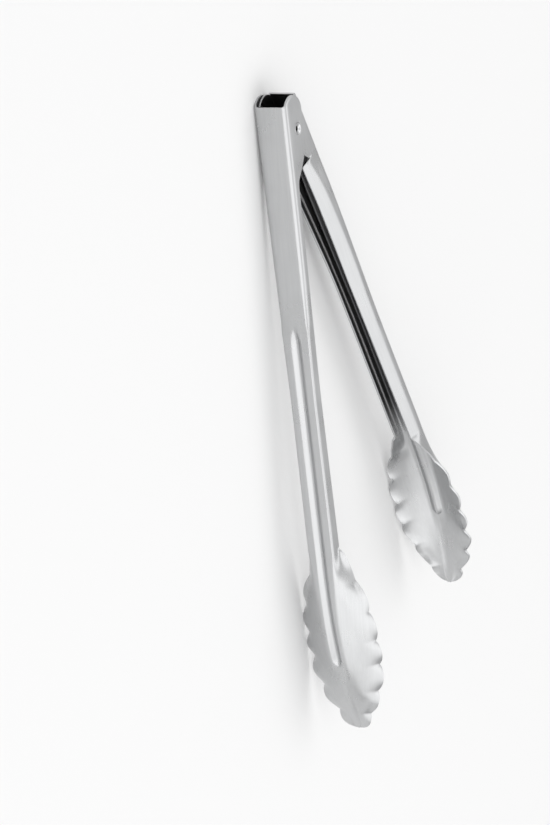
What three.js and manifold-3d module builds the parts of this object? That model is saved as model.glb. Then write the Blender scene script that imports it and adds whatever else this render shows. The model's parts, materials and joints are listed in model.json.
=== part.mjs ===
// Kitchen tongs with scalloped jaws: two pressed sheet arms on one rivet, pushed open by a coil spring.
// Millimetres. They lie on one side: the jaws point along +X, the outer arm lies at -Y and the inner
// arm at +Y, and the pivot axis stands along Z, leaned by the small angle at which they really rest.
import * as THREE from 'three';
import Module from 'manifold-3d';

const wasm = await Module();
wasm.setup();

// Whole object
const armReach = 290.5; // pivot axis to the jaw tip
const webTopReach = 11.5; // pivot axis to the cut end of each web
const webStandOff = 9.6; // pivot axis to the outer face of each web
const sheet = 0.9; // both arms are pressed from this sheet
const clearance = 0.3; // between pieces that touch on the real object
const openHalfAngle = THREE.MathUtils.degToRad(12.66); // each arm from the middle line, fully open

// Arm channel
const webHalfWidth = 7.7; // half of the outer arm's width at the pivot
const cornerReach = 2.7; // bend between web and flange: the outer arm above the rib, the inner arm below its ears
const tightCornerReach = 1.3; // the same bend on the outer arm beside the rib, and on the inner ears
const jawCornerReach = 1.6;
const foldReach = 1.1; // softness of the fold inside a flange
const jawHalfWidth = 16.9; // half of the jaw's width, measured at the notches
const jawBend = 17.5; // how far the tip curls in from the line of the web
const jawBulge = 1.3; // how far the jaw's side stands out from a straight line
const tipLobeLength = 9.4;

// Rib and ripples
const ribStart = 87.7;
const ribEnd = 252.6;
const ribHalfWidth = 3;
const ribDepth = 1.4; // the rib is pressed in: a groove outside, a ridge inside
const ribRun = 4.2; // length over which the rib deepens
const lobeDepth = 1.9; // how far a lobe stands out past the line through the notches
const rippleDepth = 0.95; // how far a lobe is pressed out of the jaw's surface
const rippleReach = 7.5; // how far a ripple runs in from the edge
const lobesPerSide = 5; // and one at the tip

// Ears at the pivot
const earLength = 21.5; // pivot axis to the end of the outer ear's taper
const earStraight = 8; // pivot axis to where the taper starts
const outerEarOverhang = 4.7; // ear past the pivot axis, away from the web
const innerEarOverhang = 4.3;
const outerEarTop = 14.8; // pivot axis to the top of the outer ear's round
const reliefAt = 18.4; // notch between the inner ear and its flange
const reliefWidth = 0.7;
const joggleEnd = 45; // where the inner arm reaches the outer arm's width

// Rivet
const shankDiameter = 3.8;
const flareDiameter = 5.0;
const dishDiameter = 4.0;
const dishDepth = 0.8;

// Spring
const wireDiameter = 1.4;
const springTurns = 4;
const springLegLength = 22;
const springSideGap = 0.4; // coil to the inner ears

// Faceting
const roundSegments = 28;
const curlSteps = 8;
const curlSides = 5;
const cutOverrun = 1;

// Shares of armReach (first) and of webHalfWidth (second): half of the flat web, then the jaw's middle strip.
const webHalfShares = [
  [-0.05, 1], [0.203, 0.935], [0.2995, 0.872], [0.427, 0.805], [0.664, 0.831], [0.72, 0.715],
  [0.778, 0.56], [0.86, 0.5], [0.9, 0.31], [0.947, 0.18], [1, 0.045],
];
// Shares of earLength and webStandOff: free edge of the outer ear from the start of its taper.
const outerEarEdgeShares = [
  [0.493, -0.406], [0.614, -0.271], [0.795, 0], [0.9, 0.19], [1, 0.38], [1.13, 0.45],
];
// Shares of armReach and webStandOff: free edge of each flange, as a distance from the pivot's plane.
const outerFlangeEdgeShares = [[0.0836, 0.45], [0.2, 0.47], [0.427, 0.396], [0.664, 0.328]];
const innerFlangeEdgeShares = [[0.0689, -0.345], [0.14, -0.27], [0.29, -0.125], [0.427, -0.083], [0.664, -0.073]];
// Shares of reliefAt and webStandOff: free edge of the inner ear down to the relief notch.
const innerEarEdgeShares = [[0.52, -0.42], [0.78, -0.092], [1, 0.177]];
// Shares of armReach and webHalfWidth: how far the inner arm's free edges lean in.
const leanShares = [[0.0689, 0.21], [0.15, 0.31], [0.29, 0.35], [0.427, 0.27], [0.664, 0.247]];
// Shares of armReach and webStandOff: depth of the fold from which they lean.
const foldDepthShares = [[0.0689, 0.958], [0.103, 0.8], [0.172, 0.625], [0.29, 0.5], [0.664, 0.49]];
// Shares of armReach for the notches between lobes, and there of jawHalfWidth and webStandOff.
const notchShares = [0.72, 0.775, 0.828, 0.872, 0.922, 0.968];
const notchWidthShares = [0.692, 0.932, 1, 0.985, 0.82, 0.479];
const notchHeightShares = [0.104, -0.0625, -0.24, -0.432, -0.5, -0.656];
// Shares of rippleDepth for each lobe along a side, and at the tip.
const rippleShares = [0.35, 0.55, 0.8, 1, 1];
const tipRippleShare = 0.6;
const tipHeightShare = -0.823;
const neckStartShare = 0.664;
// Shares of armReach and jawHalfWidth: free edge of each arm where it flares into the jaw.
const outerNeckShares = [[0.675, 0.51], [0.69, 0.592], [0.705, 0.645]];
const innerNeckShares = [[0.675, 0.41], [0.69, 0.51], [0.705, 0.62]];
const jawBendStartShare = 0.6816;
const jawBendPower = 2.5;
const lobeRowShares = [0, 0.12, 0.3, 0.5, 0.7, 0.88];
const tipRowShares = [0, 0.12, 0.28, 0.46, 0.64, 0.8, 0.92];
const handleRowShares = [0.12, 0.155, 0.2, 0.25, 0.28];
const shaftRowShares = [0.34, 0.38, 0.427, 0.48, 0.54, 0.6, 0.645, 0.664, 0.68, 0.695, 0.708];
const ribColumnShares = [0, 0.34, 0.68, 1];
const taperRowShares = [0.493, 0.614, 0.705, 0.795, 0.9, 1, 1.13, 1.3];

const smooth = (t) => { const k = Math.min(1, Math.max(0, t)); return k * k * (3 - 2 * k); };
const lerp = (a, b, t) => a + (b - a) * t;

// A monotone cubic through [place, value] rows, held at both ends.
function curve(rows) {
  const n = rows.length;
  const slope = rows.slice(1).map((r, i) => (r[1] - rows[i][1]) / (r[0] - rows[i][0]));
  const tangent = rows.map((_, i) => {
    if (i === 0) return slope[0];
    if (i === n - 1) return slope[n - 2];
    return slope[i - 1] * slope[i] <= 0 ? 0 : 2 * slope[i - 1] * slope[i] / (slope[i - 1] + slope[i]);
  });
  return (x) => {
    if (x <= rows[0][0]) return rows[0][1];
    if (x >= rows[n - 1][0]) return rows[n - 1][1];
    let i = 0;
    while (x > rows[i + 1][0]) i += 1;
    const h = rows[i + 1][0] - rows[i][0];
    const t = (x - rows[i][0]) / h;
    return (1 + 2 * t) * (1 - t) ** 2 * rows[i][1] + t * (1 - t) ** 2 * h * tangent[i]
      + t * t * (3 - 2 * t) * rows[i + 1][1] + t * t * (t - 1) * h * tangent[i + 1];
  };
}
const scaled = (rows, along, across) => rows.map(([a, b]) => [a * along, b * across]);

const webHalf = curve(scaled(webHalfShares, armReach, webHalfWidth));
const lean = curve(scaled(leanShares, armReach, webHalfWidth));
const foldDepth = curve(scaled(foldDepthShares, armReach, webStandOff));
const notchAt = notchShares.map((s) => s * armReach);
const bendStart = jawBendStartShare * armReach;
const neckStart = neckStartShare * armReach;
const jawStart = notchAt[0];
const webLine = (p) => webStandOff
  - jawBend * Math.max(0, (p - bendStart) / (armReach - bendStart)) ** jawBendPower;
const innerEarHalfWidth = webHalfWidth - sheet - clearance;
const lobeStart = notchAt[lobesPerSide];
const jawRow = (p) => smooth((p - neckStart) / (jawStart - neckStart));

// Free edges of the two arms before the jaw.
const outerEdge = curve([
  [earStraight, -outerEarOverhang],
  ...scaled(outerEarEdgeShares, earLength, webStandOff),
  ...scaled(outerFlangeEdgeShares.slice(1), armReach, webStandOff),
]);
const innerEarEdge = curve([
  [earStraight, -innerEarOverhang],
  ...scaled(innerEarEdgeShares, reliefAt, webStandOff),
]);
const innerFlangeEdge = curve(scaled(innerFlangeEdgeShares, armReach, webStandOff));

const arms = {
  outer: {
    side: -1,
    neckShares: outerNeckShares,
    half: webHalf,
    overhang: outerEarOverhang,
    edge: outerEdge,
    lean: () => 0,
    bend: (p) => lerp(cornerReach, tightCornerReach, smooth((p - ribStart + 2 * ribRun) / (2 * ribRun))),
    fold: (p, depth) => 0.8 * depth,
    earRows: taperRowShares.map((s) => s * earLength),
  },
  inner: {
    side: 1,
    neckShares: innerNeckShares,
    half: (p) => lerp(Math.min(innerEarHalfWidth, webHalf(p)), webHalf(p), smooth((p - reliefAt) / (joggleEnd - reliefAt))),
    overhang: innerEarOverhang,
    edge: (p) => (p <= reliefAt ? innerEarEdge(p) : innerFlangeEdge(p)),
    lean: (p) => (p <= reliefAt ? 0 : lean(p)),
    bend: (p) => lerp(tightCornerReach, cornerReach, smooth((p - reliefAt) / (joggleEnd - reliefAt))),
    fold: (p, depth) => (p <= reliefAt ? 0.6 * depth : foldDepth(p)),
    earRows: [
      ...[0.5, 0.63, 0.765, 0.88, 1].map((share) => share * reliefAt),
      reliefAt + reliefWidth, 1.12 * earLength, 1.3 * earLength, 1.6 * earLength,
    ],
  },
};
arms.outer.earRound = (webStandOff + outerEarOverhang) / 2;
arms.outer.earCentre = -(outerEarTop - arms.outer.earRound);
// The inner ear's round stops against the bend of the outer web at the open end of travel, one clearance away.
arms.inner.earRound = (webStandOff + innerEarOverhang) / 2;
{
  const { earRound } = arms.inner;
  const rise = (webStandOff - earRound) * Math.cos(2 * openHalfAngle);
  const bendRadius = cornerReach - sheet;
  const intoBend = innerEarHalfWidth - (webHalfWidth - cornerReach);
  const bendRise = bendRadius - Math.sqrt(bendRadius ** 2 - intoBend ** 2);
  const wall = webStandOff - sheet - clearance - bendRise;
  arms.inner.earCentre = -(wall - earRound + rise) / Math.sin(2 * openHalfAngle);
}

// Jaw edge: a smooth line through the notches, and lobes standing out from it.
function jawEdge(arm) {
  const start = [neckStart, arm.half(neckStart) - arm.lean(neckStart)];
  const width = curve([
    start,
    ...scaled(arm.neckShares, armReach, jawHalfWidth),
    ...notchAt.map((p, i) => [p, notchWidthShares[i] * jawHalfWidth]),
  ]);
  const height = curve([
    [neckStart, arm.edge(neckStart)],
    ...notchAt.map((p, i) => [p, notchHeightShares[i] * webStandOff]),
    [armReach, tipHeightShare * webStandOff],
  ]);
  return { width, height };
}
// Which lobe station p lies in, and how far along it: stand is 0 at a notch and 1 in the middle.
function lobeAt(p) {
  for (let i = 0; i < lobesPerSide; i += 1) {
    if (p >= notchAt[i] && p < notchAt[i + 1]) {
      const k = (p - notchAt[i]) / (notchAt[i + 1] - notchAt[i]);
      const stand = 4 * k * (1 - k);
      const wave = Math.sin(Math.PI * k);
      return { stand, ripple: rippleShares[i] * wave * (1 + wave) / 2 };
    }
  }
  const around = Math.min(1, Math.max(0, p - lobeStart) / tipLobeLength);
  return { stand: 0, ripple: tipRippleShare * Math.sin(Math.PI * around) };
}

const bezier = (a, b, c, t) => [0, 1].map((k) => (1 - t) ** 2 * a[k] + 2 * t * (1 - t) * b[k] + t * t * c[k]);
const towards = (a, b, reach, limit) => {
  const length = Math.hypot(b[0] - a[0], b[1] - a[1]);
  const t = Math.min(reach / length, limit);
  return [lerp(a[0], b[0], t), lerp(a[1], b[1], t)];
};

// One half of the outer face at station p, from the middle line to the free edge, as [across, out] points.
function halfSection(arm, jaw, p) {
  const inTip = p > lobeStart;
  const around = inTip ? Math.min(1, (p - lobeStart) / tipLobeLength) : 0;
  let edgeY = arm.half(p) - arm.lean(p);
  let edgeQ = arm.edge(p);
  if (p > neckStart) {
    edgeY = jaw.width(p) + lobeDepth * lobeAt(p).stand;
    edgeQ = jaw.height(p);
  }
  if (inTip) edgeY = notchWidthShares[lobesPerSide] * jawHalfWidth * Math.sqrt(1 - around ** 2.2);
  const web = webLine(p);
  const half = Math.min(arm.half(p), edgeY * (p > jawStart ? 0.45 : Infinity));
  const corner = [half, web];
  const edge = [edgeY, inTip ? lerp(edgeQ, web, around ** 3) : edgeQ];
  const depth = web - edge[1];
  const foldHandle = [half, web - Math.min(arm.fold(p, depth), 0.8 * depth)];
  const run = Math.hypot(edge[0] - half, depth) || 1;
  const bulge = jawBulge * Math.min(1, run / jawHalfWidth);
  const foldJaw = [
    (half + edge[0]) / 2 + bulge * depth / run,
    (web + edge[1]) / 2 + bulge * (edge[0] - half) / run,
  ];
  const t = jawRow(p);
  const fold = [lerp(foldHandle[0], foldJaw[0], t), lerp(foldHandle[1], foldJaw[1], t)];
  const bend = lerp(arm.bend(p), jawCornerReach, t);
  const ribColumn = Math.min(ribHalfWidth, lerp(0.6, 0.3, smooth((p - ribEnd) / ribRun)) * half);
  const flat = Math.min(bend, 0.6 * (half - ribColumn));
  const a = [half - flat, web];
  const b = towards(corner, fold, bend, lerp(0.75, 0.4, t));
  const round = lerp(foldReach, jawHalfWidth, t);
  const c = towards(fold, corner, round, lerp(0.2, 0.55, t));
  const d = towards(fold, edge, round, lerp(0.4, 0.7, t));
  const ribGone = Math.max(0, (p - (ribEnd - 1.3 * ribHalfWidth)) / (1.3 * ribHalfWidth));
  const ribShare = Math.sqrt(Math.max(0, 1 - ribGone ** 2));
  const ribWidth = ribHalfWidth * ribShare;
  const ribHere = ribDepth * ribShare * smooth((p - ribStart) / ribRun + 0.5);
  const ribAt = (y) => (y < ribWidth ? ribHere * (1 + Math.cos(Math.PI * y / ribWidth)) / 2 : 0);
  const rib = ribColumnShares.map((s) => [s * ribColumn, web - ribAt(s * ribColumn)]);
  return [
    ...rib,
    [(ribColumn + a[0]) / 2, web],
    a, bezier(a, corner, b, 1 / 3), bezier(a, corner, b, 2 / 3), b,
    [(b[0] + c[0]) / 2, (b[1] + c[1]) / 2],
    c, bezier(c, fold, d, 0.5), d,
    [lerp(d[0], edge[0], 0.36), lerp(d[1], edge[1], 0.36)],
    [lerp(d[0], edge[0], 0.7), lerp(d[1], edge[1], 0.7)],
    edge,
  ];
}

// Top outline of one half: the cut end of the web, then the ear's round down to its straight edge.
function topOutline(arm, jaw) {
  const section = halfSection(arm, jaw, earStraight);
  const firstFlat = 8; // the column where the flange's flat starts
  const last = section.length - 1;
  const qStart = section[firstFlat][1];
  const { earRound, earCentre } = arm;
  const centreQ = webStandOff - earRound;
  const startAngle = Math.asin(Math.min(1, (qStart - centreQ) / earRound));
  return section.map(([y, q], j) => {
    if (j >= firstFlat) {
      const angle = lerp(startAngle, -Math.PI / 2, (j - firstFlat) / (last - firstFlat));
      return [earCentre - earRound * Math.cos(angle), y, centreQ + earRound * Math.sin(angle)];
    }
    const ramp = smooth((webStandOff - q) / (webStandOff - qStart));
    return [lerp(-webTopReach, earCentre - earRound * Math.cos(startAngle), ramp), y, q];
  });
}

// The outer face as rows of [along, across, out] points, before the ripples.
function outerFace(arm) {
  const jaw = jawEdge(arm);
  const rows = [];
  const top = topOutline(arm, jaw);
  const straightRow = halfSection(arm, jaw, earStraight);
  for (const v of [0, 0.2, 0.45, 0.72, 1]) {
    rows.push(top.map(([p0, , q0], j) => {
      const p = lerp(p0, earStraight, v);
      const q = lerp(q0, straightRow[j][1], v);
      const inset = arm.half(earStraight) - straightRow[j][0];
      return [p, j === 0 ? 0 : Math.max(0, arm.half(p) - inset), q];
    }));
  }
  const ribRows = [-1, -0.5, 0, 0.5, 1].map((k) => ribStart + k * ribRun);
  const lobeRows = notchAt.slice(0, -1).flatMap((p, i) => lobeRowShares.map((s) => lerp(p, notchAt[i + 1], s)));
  const tipRows = tipRowShares.map((s) => lobeStart + tipLobeLength * Math.sin(s * Math.PI / 2));
  const stations = [
    ...arm.earRows,
    ...handleRowShares.map((s) => s * armReach),
    ...ribRows,
    ...shaftRowShares.map((s) => s * armReach),
    ...lobeRows,
    ...tipRows,
  ];
  for (const p of stations) rows.push(halfSection(arm, jaw, p).map(([y, q]) => [p, y, q]));
  return rows;
}

// Mirrors each half row, places it in the tongs' frame and returns the full grid of vectors.
function placedGrid(arm, rows) {
  const c = Math.cos(openHalfAngle);
  const s = Math.sin(openHalfAngle);
  return rows.map((row) => {
    const far = row.slice(1).reverse().map(([p, y, q]) => [p, -y, q]);
    return [...far, ...row].map(([p, y, q]) => new THREE.Vector3(p * c - q * s, arm.side * (p * s + q * c), y));
  });
}
function gridNormals(grid, sign) {
  const n = grid.length - 1;
  const m = grid[0].length - 1;
  return grid.map((row, i) => row.map((_, j) => {
    const along = grid[Math.min(n, i + 1)][j].clone().sub(grid[Math.max(0, i - 1)][j]);
    const across = row[Math.min(m, j + 1)].clone().sub(row[Math.max(0, j - 1)]);
    return along.cross(across).normalize().multiplyScalar(sign);
  }));
}
// Lobes press outwards near the edge and fade over rippleReach.
function rippled(grid, normals, rows) {
  const half = (grid[0].length - 1) / 2;
  return grid.map((row, i) => row.map((point, j) => {
    const p = rows[i][0][0];
    const k = Math.abs(j - half);
    if (p < jawStart) return point;
    const edge = row[j < half ? 0 : row.length - 1];
    const run = point.distanceTo(edge);
    const fade = smooth(1 - run / rippleReach) * smooth((k - 5) / 4);
    return point.clone().addScaledVector(normals[i][j], rippleDepth * lobeAt(p).ripple * fade);
  }));
}

function closedMesh(points, triangles) {
  return { positions: points.flatMap((v) => [v.x, v.y, v.z]), triangles };
}
// Normals averaged with their neighbours across the sheet, so that its back doesn't fold at a sharp bend.
function eased(normals) {
  return normals.map((row) => row.map((n, j) => {
    const sum = n.clone().multiplyScalar(2).add(row[Math.max(0, j - 1)]).add(row[Math.min(row.length - 1, j + 1)]);
    return sum.normalize();
  }));
}
// Sheet of the given thickness behind the outer face, closed along all four sides.
function sheetSolid(face, normals, thickness) {
  const n = face.length;
  const m = face[0].length;
  const back = face.map((row, i) => row.map((v, j) => v.clone().addScaledVector(normals[i][j], -thickness)));
  const points = [...face.flat(), ...back.flat()];
  const at = (i, j, layer) => layer * n * m + i * m + j;
  const tris = [];
  const quad = (a, b, c, d) => tris.push(a, b, c, a, c, d);
  for (let i = 0; i < n - 1; i += 1) {
    for (let j = 0; j < m - 1; j += 1) {
      quad(at(i, j, 0), at(i + 1, j, 0), at(i + 1, j + 1, 0), at(i, j + 1, 0));
      quad(at(i, j, 1), at(i, j + 1, 1), at(i + 1, j + 1, 1), at(i + 1, j, 1));
    }
    quad(at(i, 0, 0), at(i, 0, 1), at(i + 1, 0, 1), at(i + 1, 0, 0));
    quad(at(i, m - 1, 0), at(i + 1, m - 1, 0), at(i + 1, m - 1, 1), at(i, m - 1, 1));
  }
  for (let j = 0; j < m - 1; j += 1) {
    quad(at(0, j, 0), at(0, j + 1, 0), at(0, j + 1, 1), at(0, j, 1));
    quad(at(n - 1, j, 0), at(n - 1, j, 1), at(n - 1, j + 1, 1), at(n - 1, j + 1, 0));
  }
  return outward(closedMesh(points, tris));
}
function outward(mesh) {
  const { positions: v, triangles: t } = mesh;
  let volume = 0;
  for (let k = 0; k < t.length; k += 3) {
    const [a, b, c] = [t[k], t[k + 1], t[k + 2]].map((i) => new THREE.Vector3(v[3 * i], v[3 * i + 1], v[3 * i + 2]));
    volume += a.dot(b.cross(c));
  }
  if (volume < 0) for (let k = 0; k < t.length; k += 3) [t[k + 1], t[k + 2]] = [t[k + 2], t[k + 1]];
  return mesh;
}
// A closed profile of [radius, height] points, from axis to axis, turned round the Z axis.
function revolved(profile, segments) {
  const points = [];
  const rings = profile.map(([r, z]) => {
    if (r === 0) { points.push(new THREE.Vector3(0, 0, z)); return [points.length - 1]; }
    return Array.from({ length: segments }, (_, k) => {
      const a = 2 * Math.PI * k / segments;
      points.push(new THREE.Vector3(r * Math.cos(a), r * Math.sin(a), z));
      return points.length - 1;
    });
  });
  const tris = [];
  for (let i = 0; i < rings.length - 1; i += 1) {
    const [lo, hi] = [rings[i], rings[i + 1]];
    for (let k = 0; k < segments; k += 1) {
      const next = (k + 1) % segments;
      if (lo.length === 1) tris.push(lo[0], hi[next], hi[k]);
      else if (hi.length === 1) tris.push(lo[k], lo[next], hi[0]);
      else tris.push(lo[k], lo[next], hi[next], lo[k], hi[next], hi[k]);
    }
  }
  return outward(closedMesh(points, tris));
}

const toManifold = ({ positions, triangles }) => new wasm.Manifold(new wasm.Mesh({
  numProp: 3, vertProperties: new Float32Array(positions), triVerts: new Uint32Array(triangles),
}));
function fromManifold(solid) {
  const mesh = solid.getMesh();
  return { positions: Array.from(mesh.vertProperties), triangles: Array.from(mesh.triVerts) };
}

// Rivet: a shank through the ears, flared into the outer ears, with a dish in each end.
const shankRadius = shankDiameter / 2;
const flareRadius = flareDiameter / 2;
const rivetHalf = webHalf(0);
function rivetProfile(grow) {
  const wall = webHalf(0) - sheet - clearance / 2;
  const dish = [1, 0.75, 0.45, 0].map((share) => {
    const r = share * dishDiameter / 2;
    return [r, rivetHalf - dishDepth * (1 - share * share)];
  });
  const solidEnd = [[flareRadius + grow, rivetHalf + (grow ? cutOverrun : 0)]];
  const upper = [
    [shankRadius + grow, wall],
    [flareRadius + grow, rivetHalf],
    ...(grow ? [...solidEnd, [0, rivetHalf + cutOverrun]] : dish),
  ];
  const lower = [...upper].reverse().map(([r, z]) => [r, -z]);
  return [...lower, ...upper];
}
const rivet = revolved(rivetProfile(0), roundSegments);
const rivetHole = toManifold(revolved(rivetProfile(clearance), roundSegments));

function armSolid(arm) {
  const rows = outerFace(arm);
  const flat = placedGrid(arm, rows);
  const sign = -arm.side;
  const face = rippled(flat, gridNormals(flat, sign), rows);
  return fromManifold(toManifold(sheetSolid(face, eased(eased(gridNormals(face, sign))), sheet)).subtract(rivetHole));
}

// Spring: one wire from the outer arm's web, round the shank and out to the inner arm's web.
const wireRadius = wireDiameter / 2;
const coilRadius = (shankRadius + clearance + wireRadius) / Math.cos(Math.PI / curlSteps);
function springPath() {
  const rest = webStandOff - sheet - clearance - wireRadius; // height of the leg's end above the pivot plane
  const leanOut = Math.asin(rest / Math.hypot(springLegLength, coilRadius)) - Math.atan2(coilRadius, springLegLength);
  const top = innerEarHalfWidth - sheet - springSideGap - wireRadius;
  const startAngle = -Math.PI / 2 - openHalfAngle - leanOut;
  const endAngle = Math.PI / 2 + openHalfAngle + leanOut - 2 * Math.PI * (springTurns + 1);
  const sweep = endAngle - startAngle;
  const steps = Math.ceil(Math.abs(sweep) / (2 * Math.PI) * curlSteps);
  const leg = (angle, z, sense, length) => new THREE.Vector3(
    coilRadius * Math.cos(angle) + sense * length * Math.sin(angle),
    coilRadius * Math.sin(angle) - sense * length * Math.cos(angle),
    z,
  );
  const path = [leg(startAngle, top, -1, springLegLength)];
  for (let k = 0; k <= steps; k += 1) {
    const angle = startAngle + sweep * k / steps;
    path.push(new THREE.Vector3(coilRadius * Math.cos(angle), coilRadius * Math.sin(angle), lerp(top, -top, k / steps)));
  }
  path.push(leg(endAngle, -top, 1, springLegLength));
  return path;
}
function tube(path, radius, sides) {
  const points = [];
  const tris = [];
  path.forEach((point, i) => {
    const before = path[Math.max(0, i - 1)];
    const after = path[Math.min(path.length - 1, i + 1)];
    const along = after.clone().sub(before).normalize();
    const side = new THREE.Vector3(0, 0, 1).cross(along).normalize();
    const up = along.clone().cross(side);
    for (let k = 0; k < sides; k += 1) {
      const a = 2 * Math.PI * k / sides;
      points.push(point.clone().addScaledVector(side, radius * Math.cos(a)).addScaledVector(up, radius * Math.sin(a)));
    }
    if (i === 0) return;
    for (let k = 0; k < sides; k += 1) {
      const [a, b] = [(i - 1) * sides + k, (i - 1) * sides + (k + 1) % sides];
      tris.push(a, b, b + sides, a, b + sides, a + sides);
    }
  });
  for (let k = 1; k < sides - 1; k += 1) {
    const last = (path.length - 1) * sides;
    tris.push(0, k + 1, k, last, last + k, last + k + 1);
  }
  return outward(closedMesh(points, tris));
}
function leastSelfGap(path, radius) {
  const dense = path.slice(1).flatMap((b, i) => Array.from({ length: 12 }, (_, k) => path[i].clone().lerp(b, k / 12)));
  const reach = dense.map((_, i) => i).reduce((sum, i) => {
    sum.push(i ? sum[i - 1] + dense[i].distanceTo(dense[i - 1]) : 0);
    return sum;
  }, []);
  let least = Infinity;
  for (let i = 0; i < dense.length; i += 1) {
    for (let j = i + 1; j < dense.length; j += 1) {
      if (reach[j] - reach[i] > Math.PI * coilRadius) least = Math.min(least, dense[i].distanceTo(dense[j]));
    }
  }
  return least - 2 * radius;
}
const springLine = springPath();
console.log(`torsion_spring: least gap to itself ${leastSelfGap(springLine, wireRadius).toFixed(2)} mm`);

const pieces = {
  outer_arm: { mesh: armSolid(arms.outer), color: 0xc9cbcd, roughness: 0.28, metalness: 1 },
  inner_arm: { mesh: armSolid(arms.inner), color: 0xc3c6c9, roughness: 0.28, metalness: 1 },
  pivot_rivet: { mesh: rivet, color: 0xb4b7ba, roughness: 0.35, metalness: 1 },
  torsion_spring: { mesh: tube(springLine, wireRadius, curlSides), color: 0x8e9296, roughness: 0.4, metalness: 1 },
};

// The tongs lie on their side, on both jaws and the pivot end. The lean that this takes is worked out
// from the solids, and then the middle of the underside is put at the origin.
const vertices = Object.values(pieces).flatMap(({ mesh }) => {
  const list = [];
  for (let k = 0; k < mesh.positions.length; k += 3) list.push(new THREE.Vector3().fromArray(mesh.positions, k));
  return list;
});
const leaned = (v, angle) => new THREE.Vector3(
  v.x * Math.cos(angle) - v.z * Math.sin(angle), v.y, v.x * Math.sin(angle) + v.z * Math.cos(angle),
);
const lowest = (list, angle) => Math.min(...list.map((v) => leaned(v, angle).z));
const jawPoints = vertices.filter((v) => v.x > neckStart * Math.cos(openHalfAngle));
const pivotPoints = vertices.filter((v) => v.x < earLength);
let restAngle = 0;
for (let turn = 0; turn < 12; turn += 1) {
  restAngle += (lowest(pivotPoints, restAngle) - lowest(jawPoints, restAngle)) / (armReach * Math.cos(openHalfAngle));
}
const box = new THREE.Box3().setFromPoints(vertices.map((v) => leaned(v, restAngle)));
const origin = new THREE.Vector3((box.min.x + box.max.x) / 2, (box.min.y + box.max.y) / 2, box.min.z);
const settle = (v) => leaned(v, restAngle).sub(origin);

const tongs = new THREE.Group();
tongs.name = 'kitchen_tongs';
tongs.userData = { pivot: settle(new THREE.Vector3()).toArray(), restAngle, openHalfAngle };
for (const [name, { mesh, color, roughness, metalness }] of Object.entries(pieces)) {
  const positions = new Float32Array(mesh.positions.length);
  for (let k = 0; k < positions.length; k += 3) {
    settle(new THREE.Vector3().fromArray(mesh.positions, k)).toArray(positions, k);
  }
  const geometry = new THREE.BufferGeometry();
  geometry.setAttribute('position', new THREE.BufferAttribute(positions, 3));
  geometry.setIndex(mesh.triangles);
  geometry.computeVertexNormals();
  const node = new THREE.Mesh(geometry, new THREE.MeshStandardMaterial({ color, roughness, metalness }));
  node.name = name;
  tongs.add(node);
}
export default tongs;
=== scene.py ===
import math
import bmesh
import bpy
import numpy as np
from mathutils import Matrix, Vector
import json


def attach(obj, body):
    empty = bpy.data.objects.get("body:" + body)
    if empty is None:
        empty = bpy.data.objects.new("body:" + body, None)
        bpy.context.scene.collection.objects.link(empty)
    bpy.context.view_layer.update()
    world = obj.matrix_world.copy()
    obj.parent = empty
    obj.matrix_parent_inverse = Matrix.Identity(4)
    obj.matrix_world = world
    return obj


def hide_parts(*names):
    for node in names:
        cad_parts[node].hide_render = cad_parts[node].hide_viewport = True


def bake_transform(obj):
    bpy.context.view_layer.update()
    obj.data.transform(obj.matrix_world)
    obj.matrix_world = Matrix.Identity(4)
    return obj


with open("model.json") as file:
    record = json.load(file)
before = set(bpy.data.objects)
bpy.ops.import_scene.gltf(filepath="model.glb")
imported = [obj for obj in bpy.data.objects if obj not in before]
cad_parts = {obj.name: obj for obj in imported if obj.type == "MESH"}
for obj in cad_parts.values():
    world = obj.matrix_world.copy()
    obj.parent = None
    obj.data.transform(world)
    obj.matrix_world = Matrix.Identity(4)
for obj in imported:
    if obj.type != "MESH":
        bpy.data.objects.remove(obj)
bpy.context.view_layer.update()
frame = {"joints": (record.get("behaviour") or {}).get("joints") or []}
scene = bpy.context.scene
MM = 1000.0  # millimetres in a metre
JOINT = frame["joints"][0]
PIVOT = np.array(JOINT["pos_m"]) * MM
LEAN = math.asin(JOINT["axis"][0])  # the tongs lie on their side, so the pivot's axis leans

# Camera
# Found by fitting a perspective camera to the photograph's edges. Its place is relative to the pivot, before
# the tongs' lean, in millimetres.
CAM_POS = np.array([-461.31, -827.97, 509.78])
CAM_FORWARD = np.array([0.52351, 0.70960, -0.47159])
CAM_RIGHT = np.array([0.21120, 0.42814, 0.87869])
FOCAL_PX, CENTRE_PX = 2530.4, (272.7, 413.2)
WIDTH_PX, HEIGHT_PX = 550, 825
SENSOR, FAR_CLIP = 36.0, 100


def lean(v):
    """Points or directions given with the pivot's axis upright, turned to the way that the tongs lie."""
    v = np.asarray(v, float)
    c, s = math.cos(LEAN), math.sin(LEAN)
    return np.stack([v[..., 0] * c - v[..., 2] * s, v[..., 1], v[..., 0] * s + v[..., 2] * c], -1)


def make_camera():
    data = bpy.data.cameras.new("camera")
    cam = bpy.data.objects.new("camera", data)
    scene.collection.objects.link(cam)
    data.sensor_fit = "AUTO"
    data.sensor_width = SENSOR
    data.lens = FOCAL_PX * SENSOR / HEIGHT_PX
    data.shift_x = (WIDTH_PX / 2 - CENTRE_PX[0]) / HEIGHT_PX
    data.shift_y = (CENTRE_PX[1] - HEIGHT_PX / 2) / HEIGHT_PX
    data.clip_end = FAR_CLIP
    forward = lean(CAM_FORWARD)
    forward /= np.linalg.norm(forward)
    right = lean(CAM_RIGHT)
    right -= forward * right.dot(forward)
    right /= np.linalg.norm(right)
    up = np.cross(right, forward)
    m = Matrix.Identity(4)
    position = (lean(CAM_POS) + PIVOT) / MM
    for i in range(3):
        m[i][0], m[i][1], m[i][2], m[i][3] = right[i], up[i], -forward[i], position[i]
    cam.matrix_world = m
    scene.camera = cam


make_camera()

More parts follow.
